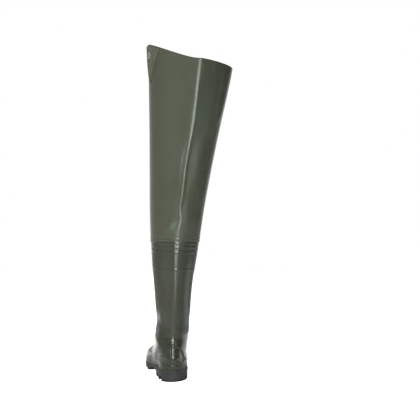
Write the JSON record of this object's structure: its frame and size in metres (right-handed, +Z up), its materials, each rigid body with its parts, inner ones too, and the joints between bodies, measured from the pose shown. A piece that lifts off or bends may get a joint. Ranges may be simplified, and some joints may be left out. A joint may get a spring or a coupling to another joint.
{
  "type": "hip wader",
  "caption": "Left hip wader: a glossy moulded boot on a lugged heeled sole, with a tall thin thigh shaft, a slanting collar and a ribbed belt patch with a metal eyelet.",
  "frame": {"origin": "on the floor, under the middle of the heel's centre lug", "axes": "+Z up, +Y to the toe, +X to the inner side of the leg"},
  "size_m": [0.2234, 0.339, 0.8476],
  "materials": {
    "sole_rubber": "matt moulded",
    "moulded_pvc": "glossy moulded",
    "sheet_pvc": "satin sheet",
    "knit_lining": "knitted",
    "nickel": "worn plated"
  },
  "bodies": {
    "root": {"outsole": "sole_rubber", "insole": "knit_lining", "boot_upper": "moulded_pvc", "thigh_shaft": "sheet_pvc", "belt_patch": "sheet_pvc", "belt_eyelet": "nickel"}
  },
  "joints": []
}
